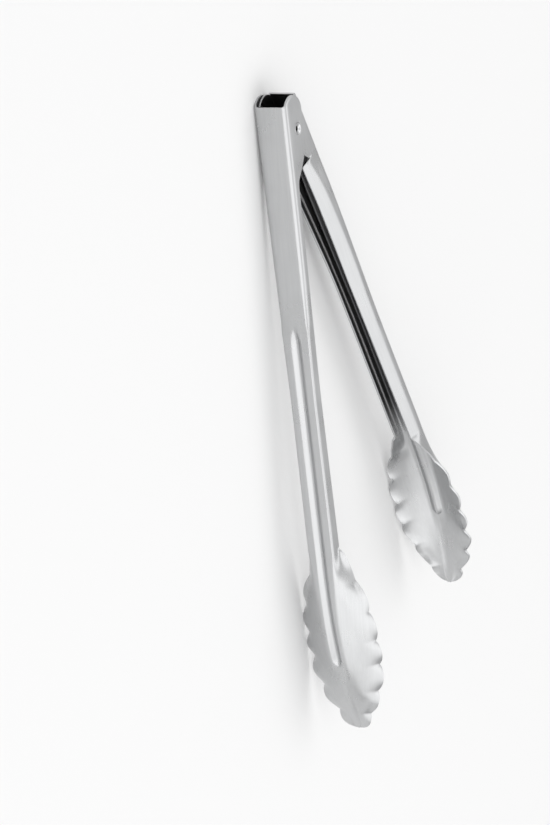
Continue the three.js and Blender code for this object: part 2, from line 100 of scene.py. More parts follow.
# Sizes, in millimetres
# p runs along an arm from the pivot, q stands out from its plane, y runs across it.
REACH, WEB_TOP, STAND_OFF, SHEET, CLEAR = 290.5, 11.5, 9.6, 0.9, 0.3
HALF_ANGLE = math.radians(12.66)
WEB_HALF, CORNER, TIGHT, JAW_CORNER, FOLD = 7.7, 2.7, 1.3, 1.6, 1.1
JAW_HALF, JAW_BEND, JAW_BULGE, TIP_LOBE = 16.9, 17.5, 1.3, 9.4
RIB_START, RIB_END, RIB_HALF, RIB_DEPTH, RIB_RUN = 89.5, 252.6, 3.0, 1.4, 10.0
RIB_ROUND, RIB_NARROW = 1.3 * RIB_HALF, 0.45  # the run of its round end, and its width where it starts
CORNER_RUN = 4.2
# from SHIFT on, the outer arm's bend takes less of the web and more of the flange
SHIFT, SHIFT_RUN, WEB_SIDE, FLANGE_SIDE = 50.0, 40.0, 0.5, 1.35
LOBES, LOBE_DEPTH, LOBE_FADE = 5, 1.9, 8.0
RIPPLE, RIPPLE_REACH, RIPPLE_FADE = 1.2, 8.5, 2.2
KEEL, KEEL_HALF, KEEL_RUN = 0.3, 2.4, 6.0  # the fine crease from the rib's end to the tip
EAR_LENGTH, EAR_STRAIGHT, OUTER_HANG, INNER_HANG, OUTER_TOP = 21.5, 8.0, 4.7, 4.3, 14.8
RELIEF, RELIEF_WIDTH, JOGGLE_END = 18.4, 0.7, 45.0
SHANK, FLARE, DISH, BORE = 3.8, 5.0, 4.1, 1.0
BORE_SHADE_RIM = 0.35  # the run in which the bore's painted shade ends
TURNED_SIDES = 64
HOLE_GAP, CUT_PAST = 0.12, 1.0  # room round the rivet, and how far its cutter stands past the ears
WIRE, TURNS, LEG, SIDE_GAP = 1.4, 4, 22.0, 0.4
EDGE_ROUND = 0.22

# Outlines, as shares: places of the arm's or the ear's length, heights and folds of STAND_OFF, and widths and
# leans of WEB_HALF, or from the neck on of JAW_HALF
WEB_HALVES = [(-.05, 1), (.203, .935), (.2995, .872), (.427, .805), (.664, .831), (.72, .715), (.778, .56),
              (.86, .5), (.9, .31), (.947, .18), (1, .045)]
OUTER_EAR_EDGE = [(.493, -.406), (.614, -.271), (.795, 0), (.9, .19), (1, .38), (1.13, .45)]
OUTER_EDGE = [(.2, .47), (.427, .396), (.664, .328)]
INNER_EDGE = [(.0689, -.345), (.14, -.27), (.29, -.125), (.427, -.083), (.664, -.073)]
INNER_EAR_EDGE = [(.52, -.42), (.78, -.092), (1, .177)]
LEANS = [(.0689, .21), (.15, .31), (.29, .35), (.427, .27), (.664, .247)]
FOLDS = [(.0689, .958), (.103, .8), (.172, .625), (.29, .5), (.664, .49)]
NOTCHES = [s * REACH for s in (.72, .775, .828, .872, .922, .968)]
NOTCH_WIDTH = [.692, .932, 1, .985, .82, .479]
NOTCH_HEIGHT = [.104, -.0625, -.24, -.432, -.5, -.656]
RIPPLES, TIP_RIPPLE, TIP_HEIGHT = [.35, .55, .8, 1, 1], .6, -.823
NECK, JAW, LOBE_END = .664 * REACH, NOTCHES[0], NOTCHES[LOBES]
NECKS = {"outer": [(.675, .51), (.69, .592), (.705, .645)], "inner": [(.675, .41), (.69, .51), (.705, .62)]}
BEND_START, BEND_POWER = .6816 * REACH, 2.5
JAW_FLAT, TIP_POWER, DEEPEST_FOLD, LOBE_STAND = .45, 2.2, 0.8, 0.6

# Shares of a section: what the rib's columns take of the web before and past the rib's end, and the most that
# a bend or the fold takes of the flat beside it, on the handle and in the jaw
RIB_SHARE, WEB_SHARE = (0.6, 0.3), 0.6
BEND_SHARE, FOLD_ABOVE, FOLD_BELOW = (0.75, 0.4), (0.2, 0.55), (0.4, 0.55)

# Places of the sections along an arm, closer together where its shape changes faster: as (from, to, step)
OUTER_EARS, AFTER_RELIEF = (9.5, 30, 1.5), (20.2, 30, 1.2)
BEFORE_RIB = (31, RIB_START - RIB_RUN - 1, 2.5)
ALONG_RIB = (RIB_START + RIB_RUN + 1.5, NECK - 6, 3.0)
# and as (from, to, number)
INNER_EARS = (9.2, RELIEF, 8)
RIB_OPENS = (RIB_START - RIB_RUN, RIB_START + RIB_RUN, 13)
INTO_JAW = (NECK - 4, JAW, 22)
END_ROWS, LOBE_ROWS, TIP_END = 12, 17, 0.94


def smooth(t):
    k = min(1.0, max(0.0, t))
    return k * k * (3 - 2 * k)


def lerp(a, b, t):
    return a + (b - a) * t


def curve(rows):
    """A monotone cubic through (place, value) rows, held at both ends."""
    n = len(rows)
    slope = [(rows[i + 1][1] - rows[i][1]) / (rows[i + 1][0] - rows[i][0]) for i in range(n - 1)]
    tan = [0 if a * b <= 0 else 2 * a * b / (a + b) for a, b in zip(slope, slope[1:])]
    tan = [slope[0]] + tan + [slope[-1]]

    def f(x):
        if x <= rows[0][0]:
            return rows[0][1]
        if x >= rows[-1][0]:
            return rows[-1][1]
        i = 0
        while x > rows[i + 1][0]:
            i += 1
        h = rows[i + 1][0] - rows[i][0]
        t = (x - rows[i][0]) / h
        return ((1 + 2 * t) * (1 - t) ** 2 * rows[i][1] + t * (1 - t) ** 2 * h * tan[i]
                + t * t * (3 - 2 * t) * rows[i + 1][1] + t * t * (t - 1) * h * tan[i + 1])
    return f


def scaled(rows, along, across):
    return [(a * along, b * across) for a, b in rows]


web_half = curve(scaled(WEB_HALVES, REACH, WEB_HALF))
lean_in = curve(scaled(LEANS, REACH, WEB_HALF))
fold_depth = curve(scaled(FOLDS, REACH, STAND_OFF))
outer_edge = curve([(EAR_STRAIGHT, -OUTER_HANG)] + scaled(OUTER_EAR_EDGE, EAR_LENGTH, STAND_OFF)
                   + scaled(OUTER_EDGE, REACH, STAND_OFF))
inner_ear_edge = curve([(EAR_STRAIGHT, -INNER_HANG)] + scaled(INNER_EAR_EDGE, RELIEF, STAND_OFF))
inner_edge = curve(scaled(INNER_EDGE, REACH, STAND_OFF))
EAR_HALF = WEB_HALF - SHEET - CLEAR


def web_line(p):
    """How far the web's outer face stands out at station p."""
    return STAND_OFF - JAW_BEND * max(0.0, (p - BEND_START) / (REACH - BEND_START)) ** BEND_POWER


class Arm:
    """The outlines of one arm: half widths, free edge, lean and fold of its flanges along p."""

    def __init__(self, name):
        self.outer = name == "outer"
        self.side = -1 if self.outer else 1
        self.hang = OUTER_HANG if self.outer else INNER_HANG
        self.round = (STAND_OFF + self.hang) / 2
        if self.outer:
            self.centre = -(OUTER_TOP - self.round)
        else:
            # the inner ears' round ends just clear the bend of the outer arm's web at rest
            rise = (STAND_OFF - self.round) * math.cos(2 * HALF_ANGLE)
            r, d = CORNER - SHEET, EAR_HALF - (WEB_HALF - CORNER)
            wall = STAND_OFF - SHEET - CLEAR - (r - math.sqrt(r * r - d * d))
            self.centre = -(wall - self.round + rise) / math.sin(2 * HALF_ANGLE)
        start = (NECK, self.half(NECK) - self.lean(NECK))
        self.width = curve([start] + scaled(NECKS[name], REACH, JAW_HALF)
                           + [(p, NOTCH_WIDTH[i] * JAW_HALF) for i, p in enumerate(NOTCHES)])
        self.height = curve([(NECK, self.edge(NECK))]
                            + [(p, NOTCH_HEIGHT[i] * STAND_OFF) for i, p in enumerate(NOTCHES)]
                            + [(REACH, TIP_HEIGHT * STAND_OFF)])

    def half(self, p):
        if self.outer:
            return web_half(p)
        return lerp(min(EAR_HALF, web_half(p)), web_half(p), smooth((p - RELIEF) / (JOGGLE_END - RELIEF)))

    def edge(self, p):
        if self.outer:
            return outer_edge(p)
        return inner_ear_edge(p) if p <= RELIEF else inner_edge(p)

    def lean(self, p):
        return 0.0 if self.outer or p <= RELIEF else lean_in(p)

    def bend(self, p):
        if self.outer:
            return lerp(CORNER, TIGHT, smooth((p - RIB_START + 2 * CORNER_RUN) / (2 * CORNER_RUN)))
        return lerp(TIGHT, CORNER, smooth((p - RELIEF) / (JOGGLE_END - RELIEF)))

    def fold(self, p, depth):
        return DEEPEST_FOLD * depth if self.outer or p <= RELIEF else fold_depth(p)

    def shifted(self, p, t):
        """How far the outer arm's bend has moved from the web towards the flange, from 0 to 1."""
        return smooth((p - SHIFT) / SHIFT_RUN) * (1 - t) if self.outer else 0.0


def lobe_at(p):
    """How far station p stands out between two notches, and how strongly it is rippled."""
    for i in range(LOBES):
        if NOTCHES[i] <= p < NOTCHES[i + 1]:
            k = (p - NOTCHES[i]) / (NOTCHES[i + 1] - NOTCHES[i])
            stand, wave = 4 * k * (1 - k), math.sin(math.pi * k)
            return stand, RIPPLES[i] * wave * (1 + wave) / 2
    around = min(1.0, max(0.0, p - LOBE_END) / TIP_LOBE)
    return 0.0, TIP_RIPPLE * math.sin(math.pi * around)


def rib_at(p):
    """Half width and depth of the rib's groove at station p. It starts narrow and ends round."""
    gone = max(0.0, (p - (RIB_END - RIB_ROUND)) / RIB_ROUND)
    share = math.sqrt(max(0.0, 1 - gone ** 2))
    begun = smooth((p - RIB_START) / RIB_RUN + 0.5)
    return RIB_HALF * share * lerp(RIB_NARROW, 1.0, begun), RIB_DEPTH * share * begun


def free_edge(arm, p):
    """The free edge at station p as [across, out], and its place across with the lobes evened out."""
    if p <= NECK:
        across = arm.half(p) - arm.lean(p)
        return [across, arm.edge(p)], across
    if p <= LOBE_END:
        faded = smooth((p - JAW) / LOBE_FADE) * smooth((LOBE_END - p) / LOBE_FADE)
        across = arm.width(p) + LOBE_DEPTH * lobe_at(p)[0]
        return [across, arm.height(p)], arm.width(p) + LOBE_STAND * LOBE_DEPTH * faded
    around = min(1.0, (p - LOBE_END) / TIP_LOBE)
    across = NOTCH_WIDTH[LOBES] * JAW_HALF * math.sqrt(max(0.0, 1 - around ** TIP_POWER))
    return [across, lerp(arm.height(p), web_line(p), around ** 3)], across


def bezier(a, b, c, t):
    return [(1 - t) ** 2 * a[k] + 2 * t * (1 - t) * b[k] + t * t * c[k] for k in (0, 1)]


def between(a, b, t):
    return [lerp(a[0], b[0], t), lerp(a[1], b[1], t)]


def towards(a, b, reach, limit):
    """A point this far from a towards b, but at most this share of the way."""
    length = math.hypot(b[0] - a[0], b[1] - a[1])
    return between(a, b, min(reach / max(length, 1e-9), limit))


# Columns of a half section: the rib, two on the web, the bend, two on the flange, the fold and the edge
RIB_COLS, BEND_COLS, FOLD_COLS, EDGE_COLS = 11, 7, 9, 8
FIRST_FLAT = RIB_COLS + 2 + BEND_COLS - 1
# The back's columns round the fold, where the channel's inside gets a painted highlight
CREASE = (FIRST_FLAT + 3, FIRST_FLAT + 2 + FOLD_COLS)


def half_section(arm, p):
    """One half of the outer face at station p, from the middle to the free edge, as [across, out] points."""
    web = web_line(p)
    real_edge, steady = free_edge(arm, p)
    edge = [steady, real_edge[1]]
    half = min(arm.half(p), steady * JAW_FLAT) if p > JAW else arm.half(p)
    corner = [half, web]
    depth = web - edge[1]
    # a handle's flange folds once below its bend, and a jaw's side bulges between its bend and its edge
    handle = [half, web - min(arm.fold(p, depth), DEEPEST_FOLD * depth)]
    run = math.hypot(edge[0] - half, depth) or 1.0
    bulge = JAW_BULGE * min(1.0, run / JAW_HALF)
    middle = between(corner, edge, 0.5)
    jaw = [middle[0] + bulge * depth / run, middle[1] + bulge * (edge[0] - half) / run]
    t = smooth((p - NECK) / (JAW - NECK))
    fold = between(handle, jaw, t)
    # the bend runs from a to b, and the fold from c to d
    bend = lerp(arm.bend(p), JAW_CORNER, t)
    rib_col = min(RIB_HALF, lerp(*RIB_SHARE, smooth((p - RIB_END) / CORNER_RUN)) * half)
    moved = arm.shifted(p, t)
    a = [half - min(bend, WEB_SHARE * (half - rib_col)) * lerp(1.0, WEB_SIDE, moved), web]
    b = towards(corner, fold, bend * lerp(1.0, FLANGE_SIDE, moved), lerp(*BEND_SHARE, t))
    soft = lerp(FOLD, JAW_HALF, t)
    c = towards(fold, corner, soft, lerp(*FOLD_ABOVE, t))
    d = towards(fold, edge, soft, lerp(*FOLD_BELOW, t))
    rib_half, deep = rib_at(p)
    keel = KEEL * smooth((p - RIB_END + 1) / KEEL_RUN)

    def groove(y):
        return deep * (1 + math.cos(math.pi * y / rib_half)) / 2 if y < rib_half else 0.0

    def raised(y, q):
        return [y, q + keel * max(0.0, 1 - y / KEEL_HALF)]

    columns = [k * rib_col / (RIB_COLS - 1) for k in range(RIB_COLS)]
    pts = [raised(y, web - groove(y)) for y in columns]
    pts += [raised(lerp(rib_col, a[0], k / 3), web) for k in (1, 2)]
    pts += [raised(*bezier(a, corner, b, k / (BEND_COLS - 1))) for k in range(BEND_COLS)]
    pts += [between(b, c, k / 3) for k in (1, 2)]
    pts += [bezier(c, fold, d, k / (FOLD_COLS - 1)) for k in range(FOLD_COLS)]
    for u in [k / EDGE_COLS for k in range(1, EDGE_COLS + 1)]:
        across, out = between(d, edge, u)
        pts.append([across + u * u * (real_edge[0] - edge[0]), out])
    return pts


def stations(arm):
    """Places of the sections along an arm, from its straight ears to its tip."""
    if arm.outer:
        places = [*np.arange(*OUTER_EARS)]
    else:
        places = [*np.linspace(*INNER_EARS), RELIEF + RELIEF_WIDTH, *np.arange(*AFTER_RELIEF)]
    places += [*np.arange(*BEFORE_RIB), *np.linspace(*RIB_OPENS)]
    places += [*np.arange(*ALONG_RIB), *np.linspace(*INTO_JAW)]
    for notch, following in zip(NOTCHES, NOTCHES[1:]):
        places += [*np.linspace(notch, following, LOBE_ROWS)[1:]]
    quarter = np.linspace(0, TIP_END * math.pi / 2, LOBE_ROWS)[1:]
    return places + [LOBE_END + TIP_LOBE * math.sin(angle) for angle in quarter]


def outer_face(arm):
    """The outer face as rows of (along, across, out), one half, from the cut end to the tip."""
    section = half_section(arm, EAR_STRAIGHT)
    last = len(section) - 1
    flat_out, centre_out = section[FIRST_FLAT][1], STAND_OFF - arm.round
    start = math.asin(min(1.0, (flat_out - centre_out) / arm.round))
    top = []
    for j, (_, q) in enumerate(section):
        if j >= FIRST_FLAT:
            angle = lerp(start, -math.pi / 2, (j - FIRST_FLAT) / (last - FIRST_FLAT))
            top.append((arm.centre - arm.round * math.cos(angle), centre_out + arm.round * math.sin(angle)))
        else:
            ramp = smooth((STAND_OFF - q) / (STAND_OFF - flat_out))
            top.append((lerp(-WEB_TOP, arm.centre - arm.round * math.cos(start), ramp), q))
    # from the cut end to where the ears are straight
    rows = []
    for v in np.linspace(0, 1, END_ROWS) ** 1.2:
        row = []
        for j, (cut, q) in enumerate(top):
            p = lerp(cut, EAR_STRAIGHT, v)
            inset = arm.half(EAR_STRAIGHT) - section[j][0]
            row.append((p, 0.0 if j == 0 else max(0.0, arm.half(p) - inset), lerp(q, section[j][1], v)))
        rows.append(row)
    return rows + [[(p, y, q) for y, q in half_section(arm, p)] for p in stations(arm)]


def place(arm, p, y, q):
    """A point of an arm, in millimetres, in the tongs' own frame before they lean."""
    c, s = math.cos(HALF_ANGLE), math.sin(HALF_ANGLE)
    return np.stack([p * c - q * s, arm.side * (p * s + q * c), y], -1)


def grid_normals(g, sign):
    """Unit normals of a grid of points, from the differences between neighbours."""
    along = np.empty_like(g)
    along[1:-1] = g[2:] - g[:-2]
    along[0], along[-1] = g[1] - g[0], g[-1] - g[-2]
    across = np.empty_like(g)
    across[:, 1:-1] = g[:, 2:] - g[:, :-2]
    across[:, 0], across[:, -1] = g[:, 1] - g[:, 0], g[:, -1] - g[:, -2]
    n = np.cross(along, across)
    return sign * n / np.linalg.norm(n, axis=-1, keepdims=True)


def arm_grid(arm):
    """Points and normals of the whole outer face, with the ripples pressed in beside the lobes."""
    half = np.array(outer_face(arm), float)
    far = half[:, :0:-1].copy()
    far[..., 1] *= -1
    pyq = np.concatenate([far, half], 1)
    g = place(arm, pyq[..., 0], pyq[..., 1], pyq[..., 2])
    n = grid_normals(g, -arm.side)
    mid = half.shape[1] - 1
    sides = ((0, mid - FIRST_FLAT, range(mid)), (-1, mid + FIRST_FLAT, range(mid + 1, g.shape[1])))
    out = g.copy()
    for i, p in enumerate(half[:, 0, 0]):
        if p < JAW:
            continue
        ripple = RIPPLE * lobe_at(p)[1]
        for edge, corner, cols in sides:
            whole = max(1e-6, np.linalg.norm(g[i, corner] - g[i, edge]))
            for j in cols:
                run = np.linalg.norm(g[i, j] - g[i, edge])
                fade = smooth(1 - run / RIPPLE_REACH) * smooth((1 - run / whole) * RIPPLE_FADE)
                out[i, j] = g[i, j] + n[i, j] * ripple * fade
    return out, grid_normals(out, -arm.side)


def new_object(name, verts, faces):
    mesh = bpy.data.meshes.new(name)
    mesh.from_pydata([tuple(v) for v in verts], [], faces)
    mesh.validate()
    mesh.update()
    ob = bpy.data.objects.new(name, mesh)
    scene.collection.objects.link(ob)
    return ob


def to_frame(v):
    """From the tongs' own frame, in millimetres, to the shared frame, in metres."""
    return (lean(v) + PIVOT) / MM


def eased(n):
    """Normals averaged with their neighbours across the sheet, so that its back doesn't fold at a bend."""
    wide = np.concatenate([n[:, :1], n, n[:, -1:]], 1)
    out = wide[:, :-2] + 2 * wide[:, 1:-1] + wide[:, 2:]
    return out / np.linalg.norm(out, axis=-1, keepdims=True)


def sheet_object(name, g, n):
    """The sheet between the outer face and its back, closed all round, its inside and creases marked for a
    painted shade and a painted highlight.
    """
    rows, cols = g.shape[:2]
    for _ in range(6):
        n = eased(n)
    back = g - n * SHEET
    verts = np.concatenate([g.reshape(-1, 3), back.reshape(-1, 3)])
    end, far = rows - 1, cols - 1
    faces = []

    def at(i, j, k):
        return k * rows * cols + i * cols + j

    for i in range(end):
        for j in range(far):
            faces.append((at(i, j, 0), at(i + 1, j, 0), at(i + 1, j + 1, 0), at(i, j + 1, 0)))
            faces.append((at(i, j, 1), at(i, j + 1, 1), at(i + 1, j + 1, 1), at(i + 1, j, 1)))
        faces.append((at(i, 0, 0), at(i, 0, 1), at(i + 1, 0, 1), at(i + 1, 0, 0)))
        faces.append((at(i, far, 0), at(i + 1, far, 0), at(i + 1, far, 1), at(i, far, 1)))
    for j in range(far):
        faces.append((at(0, j, 0), at(0, j + 1, 0), at(0, j + 1, 1), at(0, j, 1)))
        faces.append((at(end, j, 0), at(end, j, 1), at(end, j + 1, 1), at(end, j + 1, 0)))
    ob = new_object(name, to_frame(verts), faces)
    first, middle = rows * cols, far / 2
    inside = [min(f.vertices) >= first for f in ob.data.polygons]
    column = [abs(sum(v % cols for v in f.vertices) / 4 - middle) for f in ob.data.polygons]
    crease = [i and CREASE[0] < c < CREASE[1] for i, c in zip(inside, column)]
    for key, values in (("inside", inside), ("crease", crease)):
        mark = ob.data.attributes.new(key, "FLOAT", "FACE")
        mark.data.foreach_set("value", [float(v) for v in values])
    return ob


def recalc(ob):
    bm = bmesh.new()
    bm.from_mesh(ob.data)
    bmesh.ops.recalc_face_normals(bm, faces=bm.faces)
    bm.to_mesh(ob.data)
    bm.free()


def apply_modifiers(ob):
    bpy.context.view_layer.update()
    deps = bpy.context.evaluated_depsgraph_get()
    mesh = bpy.data.meshes.new_from_object(ob.evaluated_get(deps))
    ob.modifiers.clear()
    ob.data = mesh


# Edges past these angles, in degrees, are shaded as sharp, and past the last one they are rounded
SHEET_SHARP, TURNED_SHARP, EDGE_SHARP = 38, 50, 55


def shade(ob, angle):
    ob.data.polygons.foreach_set("use_smooth", [True] * len(ob.data.polygons))
    ob.data.set_sharp_from_angle(angle=math.radians(angle))


def round_edges(ob):
    mod = ob.modifiers.new("edge", "BEVEL")
    mod.width = EDGE_ROUND / MM
    mod.segments = 2
    mod.limit_method = "ANGLE"
    mod.angle_limit = math.radians(EDGE_SHARP)
    mod.use_clamp_overlap = True
    apply_modifiers(ob)


# The rivet's flared end, as (radius, how far below the ear's face): its lip, its funnel and its bore
LIP = [(FLARE / 2, 0.06), (FLARE / 2 - 0.06, -0.05), (DISH / 2 + 0.16, -0.05), (DISH / 2, 0.02)]
FUNNEL = [(lerp(DISH / 2, BORE, k), 0.9 * k ** 1.3) for k in np.linspace(0, 1, 9)[1:]]
BORE_END = [(BORE - 0.02, 1.3), (BORE - 0.12, 1.55), (BORE / 2, 1.6), (0.0, 1.6)]


def rivet_profile():
    """The rivet's outline from one end to the other, as (radius, place along its axis)."""
    face = web_half(0)
    upper = [(SHANK / 2, WEB_HALF - SHEET - CLEAR / 2)] + [(r, face - d) for r, d in LIP + FUNNEL + BORE_END]
    return [(r, -z) for r, z in reversed(upper)] + upper


def hole_profile():
    """The outline of what the rivet's holes are cut with, which stands past the outer ears."""
    face = web_half(0)
    upper = [(SHANK / 2 + HOLE_GAP, WEB_HALF - SHEET - CLEAR / 2), (FLARE / 2 + HOLE_GAP, face),
             (FLARE / 2 + HOLE_GAP, face + CUT_PAST), (0.0, face + CUT_PAST)]
    return [(r, -z) for r, z in reversed(upper)] + upper


def revolved(name, profile):
    """A solid turned round the pivot's axis, with its points in the bore marked for a painted shade."""
    verts, rings, faces = [], [], []
    for r, z in profile:
        if r == 0:
            verts.append((0, 0, z))
            rings.append([len(verts) - 1])
        else:
            rings.append(list(range(len(verts), len(verts) + TURNED_SIDES)))
            angles = [2 * math.pi * k / TURNED_SIDES for k in range(TURNED_SIDES)]
            verts += [(r * math.cos(a), r * math.sin(a), z) for a in angles]
    for lo, hi in zip(rings, rings[1:]):
        for k in range(TURNED_SIDES):
            m = (k + 1) % TURNED_SIDES
            if len(lo) == 1:
                faces.append((lo[0], hi[m], hi[k]))
            elif len(hi) == 1:
                faces.append((lo[k], lo[m], hi[0]))
            else:
                faces.append((lo[k], lo[m], hi[m], hi[k]))
    ob = new_object(name, to_frame(np.array(verts, float)), faces)
    recalc(ob)
    deep = ob.data.attributes.new("bore", "FLOAT", "POINT")
    deep.data.foreach_set("value", [1.0 - smooth((math.hypot(v[0], v[1]) - BORE) / BORE_SHADE_RIM) for v in verts])
    return ob


def cut_hole(ob):
    cutter = revolved("hole_cutter", hole_profile())
    mod = ob.modifiers.new("hole", "BOOLEAN")
    mod.operation, mod.object, mod.solver = "DIFFERENCE", cutter, "EXACT"
    apply_modifiers(ob)
    bpy.data.objects.remove(cutter)


# Materials
# Lengths are in metres here, because the nodes read the pieces' own coordinates. A noise is (scale, detail).
STEEL, RIVET_STEEL, SPRING_STEEL = (0.535, 0.54, 0.545), (0.60, 0.605, 0.61), (0.42, 0.425, 0.44)
# Painted shade for the rivet's bore and the channel's inside, a painted highlight for the inside's creases,
# and where along the arm the shade fades out and the highlight begins
PAINTED_BORE_SHADE, PAINTED_INSIDE_SHADE, PAINTED_CREASE_HIGHLIGHT = (0.03, 0.03, 0.03, 1), (0.14, 0.14, 0.143, 1), (0.9, 0.9, 0.9, 1)
INSIDE_SHADE_ENDS, CREASE_HIGHLIGHT_BEGINS = (0.040, 0.072), (-0.114, -0.100)
GRAIN_STRETCH, GRAIN, CLOUD, SPECK = (40, 1300, 1300), (1.0, 3.0), (55.0, 4.0), (1500.0, 2.0)
GRAIN_SHARE, CLOUD_SHARE, NOISE_RANGE = 0.55, 0.45, (0.3, 0.7)
SHADES, CLOUD_ROUGH, GRAIN_ROUGH, CREASE_HIGHLIGHT_MATT = (0.93, 1.04), (-0.04, 0.05), 0.05, 0.8
GRAIN_BUMP, SPECK_BUMP, BUMP_DEPTH = 0.12, 0.10, 0.00002


class Nodes:
    """The node tree of a material or world. Each call adds a node and gives back its output."""

    def __init__(self, owner):
        owner.use_nodes = True
        self.owner, self.nodes, self.links = owner, owner.node_tree.nodes, owner.node_tree.links

    def put(self, socket, value):
        if isinstance(value, bpy.types.NodeSocket):
            self.links.new(value, socket)
        else:
            socket.default_value = value

    def add(self, kind, output, inputs=None, **settings):
        node = self.nodes.new("ShaderNode" + kind)
        for key, value in settings.items():
            setattr(node, key, value)
        for key, value in (inputs or {}).items():
            self.put(node.inputs[key], value)
        return node.outputs[output]

    def math(self, operation, *values):
        return self.add("Math", 0, dict(enumerate(values)), operation=operation)

    def ramp(self, value, start, end, first=0.0, last=1.0, easing="SMOOTHSTEP"):
        ends = {"Value": value, "From Min": start, "From Max": end, "To Min": first, "To Max": last}
        return self.add("MapRange", "Result", ends, interpolation_type=easing)

    def noise(self, place, scale, detail):
        return self.add("TexNoise", "Fac", {"Vector": place, "Scale": scale, "Detail": detail})

    def mark(self, name):
        return self.add("Attribute", "Fac", attribute_name=name)

    def mix(self, share, a, b):
        return self.add("Mix", "Result", {"Factor": share, "A": a, "B": b}, data_type="RGBA")


def steel(name, base, rough, grain=1.0, direction=0.0, shaded_inside=False, shaded_bore=False):
    """Satin stainless steel: fine brushed grain in one direction, soft cloudy variation and a fine speckle.
    Its inside switch paints shade on the channel's inside up to the jaw, with a painted highlight along the
    creases there.
    Its bore switch paints shade in the rivet's bore."""
    tree = Nodes(bpy.data.materials.new(name))
    bsdf = tree.nodes["Principled BSDF"].inputs
    bsdf["Metallic"].default_value = 1.0
    coord = tree.add("TexCoord", "Object")
    turned = tree.add("Mapping", "Vector", {"Vector": coord, "Rotation": (0, 0, direction)})
    stretched = tree.add("Mapping", "Vector", {"Vector": turned, "Scale": GRAIN_STRETCH})
    brush = tree.noise(stretched, *GRAIN)
    cloud = tree.noise(coord, *CLOUD)
    speck = tree.noise(coord, *SPECK)

    tones = tree.nodes.new("ShaderNodeValToRGB")
    for element, where, shade_of in zip(tones.color_ramp.elements, NOISE_RANGE, SHADES):
        element.position = where
        element.color = tuple(c * shade_of for c in base) + (1,)
    both = tree.math("MULTIPLY_ADD", brush, GRAIN_SHARE, tree.math("MULTIPLY", cloud, CLOUD_SHARE))
    tree.put(tones.inputs["Fac"], both)
    colour = tones.outputs["Color"]
    # Painted shade in the rivet's bore
    if shaded_bore:
        colour = tree.mix(tree.mark("bore"), colour, PAINTED_BORE_SHADE)
    if shaded_inside:
        # Painted shade on the channel's inside, fading out along the arm before the jaw
        along = tree.add("SeparateXYZ", "X", {0: turned})
        fade = tree.ramp(along, *INSIDE_SHADE_ENDS, 1.0, 0.0)
        # A painted highlight along the inside's creases, from where they begin, made matt
        reach = tree.math("MULTIPLY", tree.ramp(along, *CREASE_HIGHLIGHT_BEGINS), fade)
        crease = tree.math("MULTIPLY", tree.mark("crease"), reach)
        colour = tree.mix(tree.math("MULTIPLY", tree.mark("inside"), fade), colour, PAINTED_INSIDE_SHADE)
        colour = tree.mix(crease, colour, PAINTED_CREASE_HIGHLIGHT)
        tree.put(bsdf["Metallic"], tree.math("MULTIPLY_ADD", crease, -CREASE_HIGHLIGHT_MATT, 1.0))
    tree.put(bsdf["Base Color"], colour)

    clouded = tree.ramp(cloud, *NOISE_RANGE, *(rough + r for r in CLOUD_ROUGH), easing="LINEAR")
    tree.put(bsdf["Roughness"], tree.math("MULTIPLY_ADD", brush, GRAIN_ROUGH, clouded))
    fine = {"Strength": GRAIN_BUMP * grain, "Distance": BUMP_DEPTH, "Height": brush}
    fine = {"Strength": SPECK_BUMP * grain, "Distance": BUMP_DEPTH, "Height": speck,
            "Normal": tree.add("Bump", "Normal", fine)}
    tree.put(bsdf["Normal"], tree.add("Bump", "Normal", fine))
    return tree.owner


# The arms
def build_arm(name, direction):
    ob = sheet_object(f"{name}_arm_sheet", *arm_grid(Arm(name)))
    recalc(ob)
    cut_hole(ob)
    round_edges(ob)
    shade(ob, SHEET_SHARP)
    finish = steel(f"satin_steel_{name}", STEEL, rough=0.27, direction=direction, shaded_inside=True)
    ob.data.materials.clear()
    ob.data.materials.append(finish)
    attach(ob, name)
    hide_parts(f"{name}_arm")


build_arm("outer", HALF_ANGLE)
build_arm("inner", -HALF_ANGLE)

# The rivet
rivet = revolved("rivet_body", rivet_profile())
shade(rivet, TURNED_SHARP)
rivet.data.materials.append(steel("rivet_steel", RIVET_STEEL, rough=0.22, grain=0.4, shaded_bore=True))
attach(rivet, "outer")
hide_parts("pivot_rivet")


# The spring
# The solid's coil has eight corners a turn, and this one is round and runs through those corners.
COIL_CORNERS, COIL_STEPS, WIRE_SIDES = 8, 40, 14
LEG_START, LEG_POINTS = 0.04, 10


def spring_path():
    """The middle line of the wire, from the tip of one leg to the tip of the other, and the coil's top."""
    wire = WIRE / 2
    coil = (SHANK / 2 + CLEAR + wire) / math.cos(math.pi / COIL_CORNERS)
    rest = STAND_OFF - SHEET - CLEAR - wire  # how far a leg's tip stands out, under its web
    spread = math.asin(rest / math.hypot(LEG, coil)) - math.atan2(coil, LEG)
    top = EAR_HALF - SHEET - SIDE_GAP - wire
    start = -math.pi / 2 - HALF_ANGLE - spread
    end = math.pi / 2 + HALF_ANGLE + spread - 2 * math.pi * (TURNS + 1)

    def on_leg(angle, way, share, z):
        return (coil * math.cos(angle) + way * share * LEG * math.sin(angle),
                coil * math.sin(angle) - way * share * LEG * math.cos(angle), z)

    path = [on_leg(start, -1, share, top) for share in np.linspace(1, LEG_START, LEG_POINTS)]
    for share in np.linspace(0, 1, COIL_STEPS * (TURNS + 1) + 1):
        a = lerp(start, end, share)
        path.append((coil * math.cos(a), coil * math.sin(a), lerp(top, -top, share)))
    path += [on_leg(end, 1, share, -top) for share in np.linspace(LEG_START, 1, LEG_POINTS)]
    return np.array(path), top


